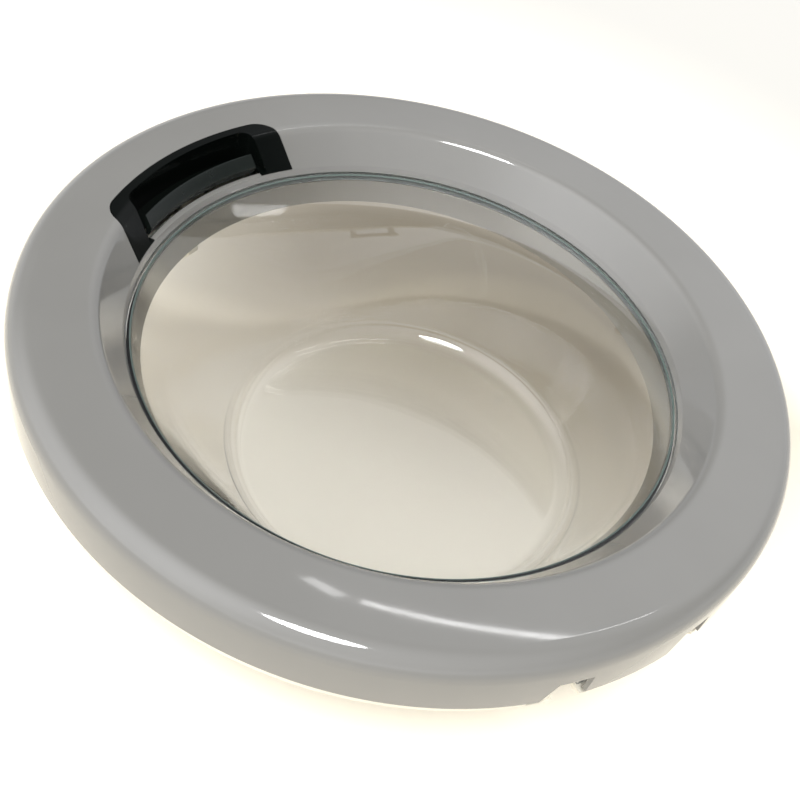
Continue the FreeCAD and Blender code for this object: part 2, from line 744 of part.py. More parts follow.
def make_handle_lever():
    near = "(lip_radius + bar_near)"
    far = "(lip_radius + bar_far)"
    line = f"* ({SLOPE}) + lip_top - fit_gap"
    bar = spun("bar_ring", [
        (near, f"bar_near {line} - tub_wall / 2"),
        (near, f"bar_near {line}"),
        (far, f"bar_far {line}"),
        (f"{far} + fit_gap", f"bar_far {line} - tub_wall"),
        (f"{far} - tub_wall", "bar_foot"),
        (f"{near} + fit_gap * 5", "bar_foot"),
    ])
    limit = free_sketch("bar_limit")
    outline(limit, [
        ("lip_radius * 0.7", "-bar_half"),
        ("lip_radius * 1.3", "-bar_half"),
        ("lip_radius * 1.3", "bar_half"),
        ("lip_radius * 0.7", "bar_half"),
    ])
    solids = [common("bar", [bar, raised("bar_span", limit, "0", "ring_height * 2")])]
    for name, sign in (("near", ""), ("far", "-")):
        side = f"{sign}ear_side"
        solids.append(across(name + "_ear", [
            (f"{near} + fit_gap * 4", "bar_foot + fit_gap"),
            (f"{near} + fit_gap * 8.25", "glass_top + tub_wall * 0.7"),
            (f"{PIVOT} - hub_radius", "pivot_height"),
            (f"{PIVOT} - hub_radius / 2", "pivot_height - hub_radius / 2"),
            (f"{PIVOT} + hub_radius / 2", "pivot_height + hub_radius / 2"),
            (f"{far} - fit_gap * 2.5", "hollow_floor - tub_wall - fit_gap * 1.5"),
            (f"{far} - fit_gap * 2.5", "bar_foot + bar_far / 2"),
        ], side, "ear_wall"))
        solids.append(rod(name + "_hub", PIVOT, "pivot_height", side, "hub_radius", "ear_wall"))
    bore_radius = "lever_pin_radius + turn_gap"
    bore = rod("lever_bore", PIVOT, "pivot_height", "0", bore_radius, "lever_pin_half * 4")
    lever = less("handle_lever", joined("lever_bulk", solids), bore)
    turn_with_handle(lever)
    return lever


# Latch hook: a flat hook on the same pin, reaching through the rear ring into the lock

def make_latch_hook():
    body = new_body("latch_hook")
    side = plane_sketch(body, "hook_outline", "XZ_Plane")
    front = f"{PIVOT} - hub_radius + fit_gap * 2"
    back = f"{PIVOT} + hub_radius - fit_gap * 2"
    outline(side, [
        (front, "pivot_height"),
        (front, "hook_wall * 2 - hook_depth"),
        (f"{PIVOT} - barb_reach", "hook_wall * 1.4 - hook_depth"),
        (f"{PIVOT} - barb_reach", "hook_wall - hook_depth"),
        (front, "-hook_depth"),
        (PIVOT, "-hook_depth"),
        (back, "hook_wall / 2 - hook_depth"),
        (back, "pivot_height"),
    ])
    blade = pad(body, "hook_blade", side, "hook_wall", midplane=True)
    eye = plane_sketch(body, "hook_eye", "XZ_Plane")
    disc(eye, PIVOT, "pivot_height", "hub_radius")
    pad(body, "hook_eye_pad", eye, "hook_wall", midplane=True)
    bore = plane_sketch(body, "hook_bore", "XZ_Plane")
    disc(bore, PIVOT, "pivot_height", "lever_pin_radius + turn_gap")
    pocket(body, "hook_bore_cut", bore, "hook_wall * 2", midplane=True)
    turn_with_handle(body)
    return body


# Pins, clip and bushes: turned about their own length

def turned(name, corners):
    """A profile of radius and length turned about Y."""
    body = new_body(name)
    sketch = plane_sketch(body, name + "_section", "XY_Plane")
    outline(sketch, corners)
    revolve(body, name + "_turned", sketch)
    return body


def at_hinge(item, side="0"):
    item.setExpression("Placement.Base.x", bound(HINGE_X))
    item.setExpression("Placement.Base.y", bound(side))
    item.setExpression("Placement.Base.z", bound("hinge_height"))


def make_hinge_pin():
    groove_top = "-(hinge_pin_half - clip_thick * 1.5)"
    groove_foot = "-(hinge_pin_half - clip_thick * 0.5)"
    pin = turned("hinge_pin", [
        ("0", "-hinge_pin_half"),
        ("hinge_pin_radius", "-hinge_pin_half"),
        ("hinge_pin_radius", groove_foot),
        ("hinge_pin_radius - clip_groove", groove_foot),
        ("hinge_pin_radius - clip_groove", groove_top),
        ("hinge_pin_radius", groove_top),
        ("hinge_pin_radius", "hinge_pin_half - pin_head_height"),
        ("pin_head_radius", "hinge_pin_half - pin_head_height"),
        ("pin_head_radius", "hinge_pin_half"),
        ("0", "hinge_pin_half"),
    ])
    at_hinge(pin)
    return pin


def make_hinge_pin_clip():
    body = new_body("hinge_pin_clip")
    place = "(hinge_pin_half - clip_thick * 1.5 + turn_gap)"
    sketch = plane_sketch(body, "clip_outline", "XZ_Plane", place)
    disc(sketch, "0", "0", "pin_head_radius")
    disc(sketch, "0", "0", "hinge_pin_radius - clip_groove + turn_gap")
    pad(body, "clip_ring", sketch, "clip_thick - turn_gap * 2")
    gap = plane_sketch(body, "clip_mouth", "XZ_Plane", place)
    outline(gap, [
        ("0", "-(hinge_pin_radius - clip_groove)"),
        ("pin_head_radius * 2", "-(hinge_pin_radius - clip_groove)"),
        ("pin_head_radius * 2", "hinge_pin_radius - clip_groove"),
        ("0", "hinge_pin_radius - clip_groove"),
    ])
    pocket(body, "clip_mouth_cut", gap, "clip_thick * 2", forward=True)
    at_hinge(body)
    return body


def make_lever_pin():
    chamfer = "lever_pin_radius / 5"
    pin = turned("lever_pin", [
        ("0", "-lever_pin_half"),
        (f"lever_pin_radius - {chamfer}", "-lever_pin_half"),
        ("lever_pin_radius", f"{chamfer} - lever_pin_half"),
        ("lever_pin_radius", f"lever_pin_half - {chamfer}"),
        (f"lever_pin_radius - {chamfer}", "lever_pin_half"),
        ("0", "lever_pin_half"),
    ])
    turn_with_handle(pin)
    pin.setExpression("Placement.Base.x", bound(f"{PIVOT} * cos(handle_angle * 1deg)"))
    pin.setExpression("Placement.Base.y", bound(f"{PIVOT} * sin(handle_angle * 1deg)"))
    pin.setExpression("Placement.Base.z", bound("pivot_height"))
    return pin


def make_bush(name, side):
    bush = turned(name, [
        ("hinge_pin_radius + turn_gap", "-knuckle_width / 2"),
        ("bush_radius", "-knuckle_width / 2"),
        ("bush_radius", "knuckle_width / 2"),
        ("knuckle_radius - fit_gap", "knuckle_width / 2"),
        ("knuckle_radius - fit_gap", "knuckle_width / 2 + fit_gap * 3"),
        ("hinge_pin_radius + turn_gap", "knuckle_width / 2 + fit_gap * 3"),
    ])
    at_hinge(bush, side)
    return bush


# Return spring: wound round the pin, one leg on the cup's tub and one on the lever's ear

def make_lever_spring():
    wire = value("spring_wire")
    coil = value("spring_radius")
    turns = int(value("spring_turns"))
    gap = value("ear_side - ear_wall / 2") - value("hook_wall / 2")
    start = value("hook_wall / 2") + wire * 2
    pitch = (gap - wire * 3.6) / (turns + 0.25)
    centre = Vector(value(PIVOT), 0, value("pivot_height"))
    spots = []
    steps = turns * 12 + 3
    for step in range(steps + 1):
        angle = math.tau * step / 12
        side = start + pitch * step / 12
        spots.append(centre + Vector(coil * math.cos(angle), side, coil * math.sin(angle)))
    first, last = spots[0], spots[-1]
    stop = value("hollow_floor - tub_wall") - wire - value("seam_gap")
    heel = value("hub_radius + fit_gap * 4") + wire
    low_leg = [
        Vector(centre.x + heel, 0, first.z - coil * 2),
        Vector(centre.x + heel, first.y / 2, first.z - coil),
    ]
    leg = value("spring_leg")
    top_leg = [last + Vector(-run, 0, min(0.0, stop - last.z)) for run in (leg * 0.45, leg)]
    path = Part.BSplineCurve()
    path.interpolate(low_leg + spots + top_leg)
    spine = Part.Wire(path.toShape())
    begin = path.value(path.FirstParameter)
    heading = path.tangent(path.FirstParameter)[0]
    frame = FreeCAD.Placement(begin, FreeCAD.Rotation(Vector(0, 0, 1), heading))
    ring = []
    for corner in range(8):
        angle = math.tau * corner / 8
        ring.append(frame.multVec(Vector(wire * math.cos(angle), wire * math.sin(angle), 0)))
    section = Part.makePolygon(ring + ring[:1])
    spring = doc.addObject("Part::Feature", "lever_spring")
    spring.Shape = spine.makePipeShell([section], True, False)
    turn_with_handle(spring)
    return spring


# Hinge leaf: a plate for the cabinet's recess with two arms that end in knuckles

def make_hinge_leaf():
    body = new_body("hinge_leaf")
    plate = plane_sketch(body, "plate_outline", "XY_Plane", "-(plate_gap + plate_thick)")
    near = PLATE_NEAR_X
    outline(plate, [
        (near, "-plate_half"),
        (f"{near} + plate_width", "-plate_half"),
        (f"{near} + plate_width", "plate_half"),
        (near, "plate_half"),
    ])
    plate_pad = pad(body, "plate", plate, "plate_thick")
    corners = upright_edges(plate_pad.Shape, lambda spot: spot.x > value(near) + 1)
    soften(body, "plate_corners", plate_pad, corners, "plate_round")

    outer = "-(knuckle_side + knuckle_width / 2)"
    arm = plane_sketch(body, "arm_outline", "XZ_Plane", outer)
    outline(arm, [
        (near, "-(plate_gap + plate_thick / 2)"),
        (f"{near} + arm_half * 2.6", "-(plate_gap + plate_thick / 2)"),
        (f"{HINGE_X} + arm_half * 0.85", "hinge_height + arm_half * 0.53"),
        (f"{HINGE_X} - arm_half * 0.85", "hinge_height - arm_half * 0.53"),
    ])
    arm_pad = pad(body, "arm", arm, "knuckle_width")
    knuckle = plane_sketch(body, "knuckle_outline", "XZ_Plane", outer)
    disc(knuckle, HINGE_X, "hinge_height", "knuckle_radius")
    knuckle_pad = pad(body, "knuckle", knuckle, "knuckle_width")
    bore = plane_sketch(body, "knuckle_bore", "XZ_Plane", outer)
    disc(bore, HINGE_X, "hinge_height", "bush_radius + turn_gap / 2")
    bore_cut = pocket(body, "knuckle_bore_cut", bore, "knuckle_width", forward=True)
    mirror(body, "second_arm", [arm_pad, knuckle_pad, bore_cut])

    bolts = plane_sketch(body, "bolt_places", "XY_Plane", "0")
    for way_x in ("-", "+"):
        across_plate = f"{near} + plate_width / 2 {way_x} bolt_pitch_x / 2"
        for way_y in ("-", "+"):
            disc(bolts, across_plate, f"{way_y}bolt_pitch_y / 2", "bolt_radius")
    pocket(body, "bolt_holes", bolts, "(plate_gap + plate_thick) * 2")
    return body


# Hinge saddle: pressed steel, screwed to the rear ring, with two ears round the pin

def make_hinge_saddle():
    body = new_body("hinge_saddle")
    base = plane_sketch(body, "saddle_outline", "XY_Plane", "rear_floor")
    outline(base, [
        (f"{HINGE_X} - knuckle_radius", "-saddle_half"),
        (f"{HINGE_X} + saddle_reach", "-saddle_half"),
        (f"{HINGE_X} + saddle_reach", "saddle_half"),
        (f"{HINGE_X} - knuckle_radius", "saddle_half"),
    ])
    pad(body, "saddle_base", base, "saddle_thick")
    ear = plane_sketch(body, "saddle_ear_outline", "XZ_Plane", "-saddle_half")
    outline(ear, [
        (f"{HINGE_X} - knuckle_radius", "rear_floor"),
        (f"{HINGE_X} + knuckle_radius", "rear_floor"),
        (f"{HINGE_X} + knuckle_radius", "hinge_height"),
        (f"{HINGE_X} - knuckle_radius", "hinge_height"),
    ])
    ear_pad = pad(body, "saddle_ear", ear, "saddle_thick")
    crown = plane_sketch(body, "saddle_crown_outline", "XZ_Plane", "-saddle_half")
    disc(crown, HINGE_X, "hinge_height", "knuckle_radius")
    crown_pad = pad(body, "saddle_crown", crown, "saddle_thick")
    bore = plane_sketch(body, "saddle_bore", "XZ_Plane", "-saddle_half")
    disc(bore, HINGE_X, "hinge_height", "hinge_pin_radius + turn_gap")
    bore_cut = pocket(body, "saddle_bore_cut", bore, "saddle_thick", forward=True)
    mirror(body, "saddle_second_ear", [ear_pad, crown_pad, bore_cut])
    holes = plane_sketch(body, "saddle_holes", "XY_Plane", "rear_floor")
    for way in ("-", "+"):
        disc(holes, f"{HINGE_X} + saddle_screw_reach", f"{way}saddle_screw_side", "shank_radius + turn_gap")
    pocket(body, "saddle_hole_cuts", holes, "saddle_thick * 2", forward=True)
    return body


# Screws: pan heads in wells of the rear ring, shanks up into the bosses

def screw_section(sketch, reach, head_low, head_high, tip):
    outline(sketch, [
        (reach, head_low),
        (f"{reach} + head_radius", head_low),
        (f"{reach} + head_radius", head_high),
        (f"{reach} + shank_radius", head_high),
        (f"{reach} + shank_radius", f"{tip} - shank_radius"),
        (f"{reach} + shank_radius / 3", tip),
        (reach, tip),
    ])
    axis_line(sketch, reach)


def make_ring_screws():
    body = new_body("ring_screws")
    first = "handle_angle + screw_step"
    sketch = plane_sketch(body, "screw_section", "XZ_Plane", "0", first, Vector(0, 1, 0))
    screw_section(sketch, SCREW_CIRCLE, "0", "head_height", "post_height + shank_length")
    one = revolve(body, "ring_screw", sketch, "Axis0")
    polar(body, "ring_screw_set", [one], "screw_count", "screw_step * (screw_count - 1)")
    return body


def make_cup_screws():
    body = new_body("cup_screws")
    sketch = plane_sketch(body, "cup_screw_section", "XZ_Plane", "-cup_screw_side")
    screw_section(sketch, CUP_SCREW, "0", "head_height", "post_height + shank_length")
    one = revolve(body, "cup_screw", sketch, "Axis0")
    mirror(body, "cup_screw_pair", [one])
    turn_with_handle(body)
    return body


def make_saddle_screws():
    body = new_body("saddle_screws")
    sketch = plane_sketch(body, "saddle_screw_section", "XZ_Plane", "-saddle_screw_side")
    reach = f"{HINGE_X} + saddle_screw_reach"
    screw_section(sketch, reach, "0", "rear_floor / 2", "rear_floor + saddle_thick * 1.5")
    one = revolve(body, "saddle_screw", sketch, "Axis0")
    mirror(body, "saddle_screw_pair", [one])
    return body


# Build, check and write every piece

pieces = [
    make_front_ring(),
    make_rear_ring(),
    make_glass_bowl(),
    make_handle_cup(),
    make_handle_lever(),
    make_latch_hook(),
    make_lever_pin(),
    make_lever_spring(),
    make_hinge_leaf(),
    make_bush("upper_bush", "knuckle_side"),
    make_bush("lower_bush", "-knuckle_side"),
    make_hinge_pin(),
    make_hinge_pin_clip(),
    make_hinge_saddle(),
    make_saddle_screws(),
    make_ring_screws(),
    make_cup_screws(),
]
doc.recompute()

for item in doc.Objects:
    if "Invalid" in item.State or "Error" in item.State:
        raise RuntimeError(f"{item.Name} did not build: {item.State}")
for piece in pieces:
    shape = piece.Shape
    if shape.isNull() or not shape.isValid():
        raise RuntimeError(f"{piece.Label} has no valid shape")
    shape.exportStep(f"parts/{piece.Label}.step")
    print(piece.Label, len(shape.Solids), "solids", round(shape.Volume / 1000, 2), "cm3")
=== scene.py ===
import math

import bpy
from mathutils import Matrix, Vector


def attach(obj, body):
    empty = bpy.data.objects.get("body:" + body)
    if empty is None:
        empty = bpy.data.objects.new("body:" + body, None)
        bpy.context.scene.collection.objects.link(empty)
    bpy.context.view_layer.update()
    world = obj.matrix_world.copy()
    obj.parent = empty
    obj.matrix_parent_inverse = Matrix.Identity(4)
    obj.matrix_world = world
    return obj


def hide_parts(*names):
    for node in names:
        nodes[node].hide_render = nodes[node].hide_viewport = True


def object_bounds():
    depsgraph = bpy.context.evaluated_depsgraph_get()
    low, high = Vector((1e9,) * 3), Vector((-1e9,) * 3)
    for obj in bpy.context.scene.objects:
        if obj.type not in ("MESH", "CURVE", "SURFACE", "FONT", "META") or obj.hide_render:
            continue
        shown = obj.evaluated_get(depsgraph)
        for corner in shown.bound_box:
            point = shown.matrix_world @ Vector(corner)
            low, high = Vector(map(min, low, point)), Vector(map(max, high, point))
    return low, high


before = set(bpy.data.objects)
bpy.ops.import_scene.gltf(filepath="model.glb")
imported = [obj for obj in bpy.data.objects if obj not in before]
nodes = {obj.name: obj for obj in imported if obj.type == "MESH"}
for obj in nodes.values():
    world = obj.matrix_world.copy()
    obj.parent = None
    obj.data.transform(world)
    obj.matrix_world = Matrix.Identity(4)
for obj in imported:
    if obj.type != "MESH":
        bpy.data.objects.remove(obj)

# %% [markdown]
# A front-loading washing machine's door, lying on its glass bowl as it does on a workbench. The solids
# that were loaded already have the right sizes. This lesson models the visible mouldings and the screws
# again with finer curves, gives every piece the finish of its real material, and lights the door like a
# product photograph. All places are in metres, X to the right of the closed door, Y up, Z out of the
# machine.

solid_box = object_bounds()
print("solids reach", [round(edge, 4) for edge in solid_box[1] - solid_box[0]])

# %% [markdown]
# Most of the door was turned or moulded round one axis, so a section is enough to describe it. A
# section's corners are given in millimetres with the radius of each rounding, the way a drawing gives
# them. The roundings become short straight steps, fine enough that no facet shows in a gloss surface.

# %% Sections with rounded corners
def rounded(corners, steps=10):
    places = []
    count = len(corners)
    for index, (across, up, radius) in enumerate(corners):
        corner = Vector((across, up))
        if radius == 0:
            places.append(corner)
            continue
        back = (Vector(corners[index - 1][:2]) - corner).normalized()
        ahead = (Vector(corners[(index + 1) % count][:2]) - corner).normalized()
        half = back.angle(ahead) / 2
        centre = corner + (back + ahead).normalized() * (radius / math.sin(half))
        first = corner + back * (radius / math.tan(half)) - centre
        last = corner + ahead * (radius / math.tan(half)) - centre
        begin = math.atan2(first.y, first.x)
        sweep = (math.atan2(last.y, last.x) - begin + math.pi) % math.tau - math.pi
        for step in range(steps + 1):
            turn = begin + sweep * step / steps
            places.append(centre + Vector((math.cos(turn), math.sin(turn))) * radius)
    return places


# %% [markdown]
# A section is drawn by extruding one corner from place to place, as with a pen, and closed with one last
# edge. Operators act on whatever is selected, so everything is deselected before a piece is begun.

# %% Drawing a line
MM = 0.001


def begin_piece():
    if bpy.context.object and bpy.context.object.mode == "EDIT":
        bpy.ops.object.mode_set(mode="OBJECT")
    bpy.ops.object.select_all(action="DESELECT")


def drawn_line(name, places):
    begin_piece()
    bpy.ops.mesh.primitive_plane_add(size=MM, location=places[0])
    piece = bpy.context.object
    piece.name = name
    piece.data.name = name
    bpy.ops.object.transform_apply(location=True)
    bpy.ops.object.mode_set(mode="EDIT")
    bpy.ops.mesh.merge(type="CENTER")
    for start, end in zip(places, places[1:]):
        bpy.ops.mesh.extrude_vertices_move(TRANSFORM_OT_translate={"value": end - start})
    bpy.ops.mesh.select_all(action="DESELECT")
    bpy.ops.object.mode_set(mode="OBJECT")
    for end in (places[0], places[-1]):
        nearest = min(piece.data.vertices, key=lambda spot: (spot.co - end).length)
        nearest.select = True
    bpy.ops.object.mode_set(mode="EDIT")
    bpy.ops.mesh.edge_face_add()
    bpy.ops.mesh.select_all(action="SELECT")
    return piece


# %% [markdown]
# Spin turns the drawn line about the door's axis. After a full turn its end meets its start, and the
# doubles are merged. After a part of a turn the two open ends are filled.

# %% Turning it
def turned(name, section, steps=256, sweep=math.tau, middle=0.0):
    start = Matrix.Rotation(middle + sweep / 2, 3, "Z")
    places = [start @ Vector((spot.x, 0, spot.y)) * MM for spot in section]
    piece = drawn_line(name, places)
    bpy.ops.mesh.spin(steps=steps, angle=sweep, center=(0, 0, 0), axis=(0, 0, 1), use_auto_merge=True)
    bpy.ops.mesh.select_all(action="SELECT")
    bpy.ops.mesh.remove_doubles(threshold=1e-6)
    if sweep < math.tau:
        bpy.ops.mesh.fill_holes(sides=0)
        bpy.ops.mesh.select_all(action="SELECT")
    bpy.ops.mesh.normals_make_consistent(inside=False)
    bpy.ops.object.mode_set(mode="OBJECT")
    return piece


# %% [markdown]
# Windows, notches and hollows are cut with a block of the opening's outline, using a Boolean modifier
# that is then applied. A block is a drawn outline, filled, and extruded to its height.

# %% Blocks and cuts
def block(name, outline, rise):
    piece = drawn_line(name, outline)
    bpy.ops.mesh.edge_face_add()
    bpy.ops.mesh.extrude_region_move(TRANSFORM_OT_translate={"value": rise})
    bpy.ops.mesh.select_all(action="SELECT")
    bpy.ops.mesh.normals_make_consistent(inside=False)
    bpy.ops.object.mode_set(mode="OBJECT")
    return piece


def pick(piece):
    begin_piece()
    piece.select_set(True)
    bpy.context.view_layer.objects.active = piece


def combine(piece, other, way):
    pick(piece)
    bpy.ops.object.modifier_add(type="BOOLEAN")
    change = piece.modifiers[-1]
    change.operation = way
    change.object = other
    change.solver = "EXACT"
    bpy.ops.object.modifier_apply(modifier=change.name)
    bpy.data.objects.remove(other)


def smooth(piece, degrees=32):
    pick(piece)
    bpy.ops.object.shade_smooth_by_angle(angle=math.radians(degrees))


# %% [markdown]
# The front ring is one glossy moulding: a skirt, a broad face with a rounded shoulder, a rounded crest,
# and a steep slope down to a thin lip that lies on the glass. It could be a bevelled tube, but turning
# its real section keeps the wall thickness and the exact roundings, which decide where the highlights
# run.

# %% Front ring
RING_OUTSIDE = [(234, 8.2, 0.6), (235, 46, 14), (186.5, 46.5, 9), (171, 24.5, 1.2), (168.8, 20.4, 0.4)]
RING_INSIDE = [(173.5, 20.4, 0), (174.5, 24.5, 0), (188, 43.7, 6.2), (232.2, 43.2, 11.2), (231.2, 8.2, 0.4)]
front_ring = turned("ring_moulding", rounded(RING_OUTSIDE + RING_INSIDE))
print("front ring", len(front_ring.data.polygons), "faces")

# %% [markdown]
# The window for the handle has straight sides and an outer edge that follows the ring. The same outline,
# a little smaller, serves the handle insert, and smaller again its tub and the finger hollow, so one
# function draws them all. One half is drawn and mirrored, and the whole is turned to the handle's place.

# %% Handle window
HANDLE_TURN = math.radians(23)
CUT_RISE = Vector((0, 0, 60 * MM))
turn_in = Matrix.Rotation(HANDLE_TURN, 3, "Z")


def bay(half, reach, corner, low, inner=120.0, steps=10, rim_steps=12):
    side = half - corner
    along = math.sqrt((reach - corner) ** 2 - side ** 2)
    swing = math.atan2(side, along)
    half_line = [Vector((inner, half))]
    for step in range(steps + 1):
        turn = math.pi / 2 + (swing - math.pi / 2) * step / steps
        half_line.append(Vector((along + corner * math.cos(turn), side + corner * math.sin(turn))))
    for step in range(1, rim_steps):
        turn = swing * (1 - step / rim_steps)
        half_line.append(Vector((reach * math.cos(turn), reach * math.sin(turn))))
    mirrored = [Vector((spot.x, -spot.y)) for spot in reversed(half_line)]
    whole = half_line + [Vector((reach, 0))] + mirrored
    return [turn_in @ Vector((spot.x, spot.y, low)) * MM for spot in whole]


window = bay(half=73, reach=199, corner=16, low=24.5)
combine(front_ring, block("window", window, CUT_RISE), "DIFFERENCE")
print("front ring with window", len(front_ring.data.polygons), "faces")

# %% [markdown]
# Two notches in the skirt let the hinge arms in. Each has one straight and one slanted side, and is cut
# with a block pushed in from the hinge side.

# %% Hinge notches
NOTCH_START = -240
NOTCH_DEPTH = Vector((24 * MM, 0, 0))
NOTCH_FOOT, NOTCH_TOP = 5, 24
for middle in (40.3, -40.3):
    low = middle - 7.8
    notch = [(low, NOTCH_FOOT), (middle + 20, NOTCH_FOOT), (middle + 12, NOTCH_TOP), (low, NOTCH_TOP)]
    outline = [Vector((NOTCH_START, across, up)) * MM for across, up in notch]
    combine(front_ring, block("notch", outline, NOTCH_DEPTH), "DIFFERENCE")
smooth(front_ring)
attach(front_ring, "door")
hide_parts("front_ring")
print("front ring with window and notches", len(front_ring.data.polygons), "faces")

# %% [markdown]
# The glass bowl was pressed in a mould. Its flange and collar are round, but below the neck it leans: the
# floor is smaller and lies lower on the closed door, so that laundry slides back into the drum. Each
# level is still a circle, so the bowl is described by levels, each with its height, its radius and its
# shift along Y.

# %% Levels of the bowl
NECK_LEVEL = -8.0
FLANGE_STEPS = 6
FLANGE_OUTSIDE = [(150, 20.2, 0), (166.5, 20.2, 1.2), (178.5, 20.2, 1.2), (178.5, 13.75, 1.2),
                  (169, 13.75, 1.5), (159, NECK_LEVEL, 0)]
COLLAR_INSIDE = [(153.5, NECK_LEVEL, 0), (166.5, 20.2, 1.2), (178.5, 20.2, 0)]


def round_levels(corners):
    return [(spot.y, spot.x, 0.0) for spot in rounded(corners, FLANGE_STEPS)]


def leaning_wall(neck, floor_radius, floor_level, fillet, lean, steps=14):
    def side(sign):
        foot = (floor_radius - sign * lean, floor_level, fillet)
        line = rounded([(0, NECK_LEVEL, 0), (neck, NECK_LEVEL, 0), foot, (0, floor_level, 0)], steps)
        return line[2:-1]

    levels = []
    for high, low in zip(side(1), side(-1)):
        levels.append(((high.y + low.y) / 2, (high.x + low.x) / 2, (high.x - low.x) / 2))
    return levels


# The first two corners are left out here, because the inside draws the flange's rounded inner edge.
outside = round_levels(FLANGE_OUTSIDE)[FLANGE_STEPS + 2:]
outside += leaning_wall(neck=159, floor_radius=120.5, floor_level=-98.5, fillet=21.5, lean=23.5)
inside = leaning_wall(neck=153.5, floor_radius=118.1, floor_level=-93, fillet=16, lean=22)[::-1]
inside += [(NECK_LEVEL, 153.5, 0.0)] + round_levels(COLLAR_INSIDE)[1:-1]
print("bowl levels", len(outside), "outside and", len(inside), "inside")

# %% [markdown]
# One filled circle is extruded from level to level and resized at each, up the outside, over the flange
# and down the inside, so the bowl comes out as one closed shell. Spin would be quicker, but it can't make
# a bowl that leans.

# %% Glass bowl
def stacked(name, levels, steps=256):
    begin_piece()
    level, radius, shift = levels[0]
    bpy.ops.mesh.primitive_circle_add(vertices=steps, radius=radius * MM, fill_type="NGON",
                                      location=(0, shift * MM, level * MM))
    piece = bpy.context.object
    piece.name = name
    piece.data.name = name
    bpy.ops.object.transform_apply(location=True)
    bpy.ops.object.mode_set(mode="EDIT")
    for (level, radius, shift), (above, wider, moved) in zip(levels, levels[1:]):
        step = Vector((0, moved - shift, above - level)) * MM
        bpy.ops.mesh.extrude_region_move(TRANSFORM_OT_translate={"value": step})
        grow = wider / radius
        bpy.ops.transform.resize(value=(grow, grow, 1), center_override=(0, moved * MM, above * MM))
    bpy.ops.mesh.select_all(action="SELECT")
    bpy.ops.mesh.normals_make_consistent(inside=False)
    bpy.ops.object.mode_set(mode="OBJECT")
    return piece


glass = stacked("pressed_bowl", outside[::-1] + inside[::-1])
smooth(glass)
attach(glass, "door")
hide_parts("glass_bowl")
print("glass bowl", len(glass.data.polygons), "faces")

# %% [markdown]
# The dark handle insert is flush with the ring: its skin follows the same slope, crest and face, 0.4
# millimetres inside the window. A tub behind the skin makes the finger hollow. Both are turned strips,
# trimmed to their outlines by an intersection and then joined.

# %% Skin and tub of the handle insert
STRIP_SWEEP = math.radians(64)
STRIP_STEPS = 96
SKIN = [(171.3, 24.9, 0), (186.5, 46.5, 9), (201.8, 46.4, 0), (201.8, 43.9, 0), (188.2, 43.9, 6.5),
        (174.8, 24.9, 0)]
TUB = [(175.4, 23.3, 0), (175.4, 26.0, 0), (182.2, 39.2, 0), (189, 45.2, 0), (201.8, 45.2, 0),
       (201.8, 23.3, 0)]
insert = turned("handle_insert", rounded(SKIN), STRIP_STEPS, STRIP_SWEEP, HANDLE_TURN)
outline = bay(half=72.6, reach=198.6, corner=15.6, low=24.0)
combine(insert, block("insert_outline", outline, CUT_RISE), "INTERSECT")
tub = turned("tub", rounded(TUB), STRIP_STEPS, STRIP_SWEEP, HANDLE_TURN)
outline = bay(half=57.2, reach=195.7, corner=11.2, low=20.0)
combine(tub, block("tub_outline", outline, CUT_RISE), "INTERSECT")
combine(insert, tub, "UNION")
print("skin and tub", len(insert.data.polygons), "faces")

# %% [markdown]
# Two cuts open the insert. The first leaves room for the grip bar over its whole travel, so the bar
# touches nothing when it is pulled. The second is the hollow for the fingers.

# %% Openings of the handle insert
BAR_ROOM = [(165, 20, 0), (182.2, 20, 0), (182.2, 44, 0), (165, 44, 0)]
BAR_ROOM_SWEEP = math.radians(34.4)
BAR_ROOM_STEPS = 48
bar_room = turned("bar_room", rounded(BAR_ROOM), BAR_ROOM_STEPS, BAR_ROOM_SWEEP, HANDLE_TURN)
combine(insert, bar_room, "DIFFERENCE")
outline = bay(half=55, reach=193.5, corner=9, low=25.5)
combine(insert, block("finger_hollow", outline, CUT_RISE), "DIFFERENCE")
smooth(insert)
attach(insert, "door")
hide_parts("handle_cup")
print("handle insert", len(insert.data.polygons), "faces")

# %% [markdown]
# The grip bar is what the fingers pull. It is a short curved strip in the line of the slope, with rounded
# edges, on two ears that turn on a pin inside the door. The strip is turned longer than it is and
# trimmed, so that its ends are parallel, and the ears are blocks joined to it.

# %% Grip lever
BAR = [(175.2, 29.0, 0.5), (175.2, 30.1, 0.8), (181, 38.3, 0.7), (181.4, 36.1, 0.6), (178.8, 24.2, 0.3),
       (177.2, 24.2, 0.3)]
BAR_SPAN = [(150, -49), (210, -49), (210, 49), (150, 49)]
BAR_FOOT = 10
EAR = [(176.9, 24.7), (178.5, 21.8), (183, 14.5), (185.3, 12.3), (189.7, 16.7), (180, 22.6), (180, 29)]
EAR_WIDTH = 5
lever = turned("grip_bar", rounded(BAR, 4), 72, math.radians(40), HANDLE_TURN)
outline = [turn_in @ Vector((across, along, BAR_FOOT)) * MM for across, along in BAR_SPAN]
combine(lever, block("bar_span", outline, Vector((0, 0, 40 * MM))), "INTERSECT")
for middle in (-22, 22):
    outline = [turn_in @ Vector((across, middle - EAR_WIDTH / 2, up)) * MM for across, up in EAR]
    combine(lever, block("ear", outline, turn_in @ Vector((0, EAR_WIDTH * MM, 0))), "UNION")
smooth(lever)
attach(lever, "lever")
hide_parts("handle_lever")
print("grip lever", len(lever.data.polygons), "faces")

# %% [markdown]
# Eleven pan-head screws hold the door together from behind: seven clamp the two rings on the glass, two
# hold the handle insert and two the hinge saddle. A screw starts as a flat cylinder, the head. Its upper
# face is inset and extruded into the shank, the rim is bevelled, and a cross is cut where the screwdriver
# fits.

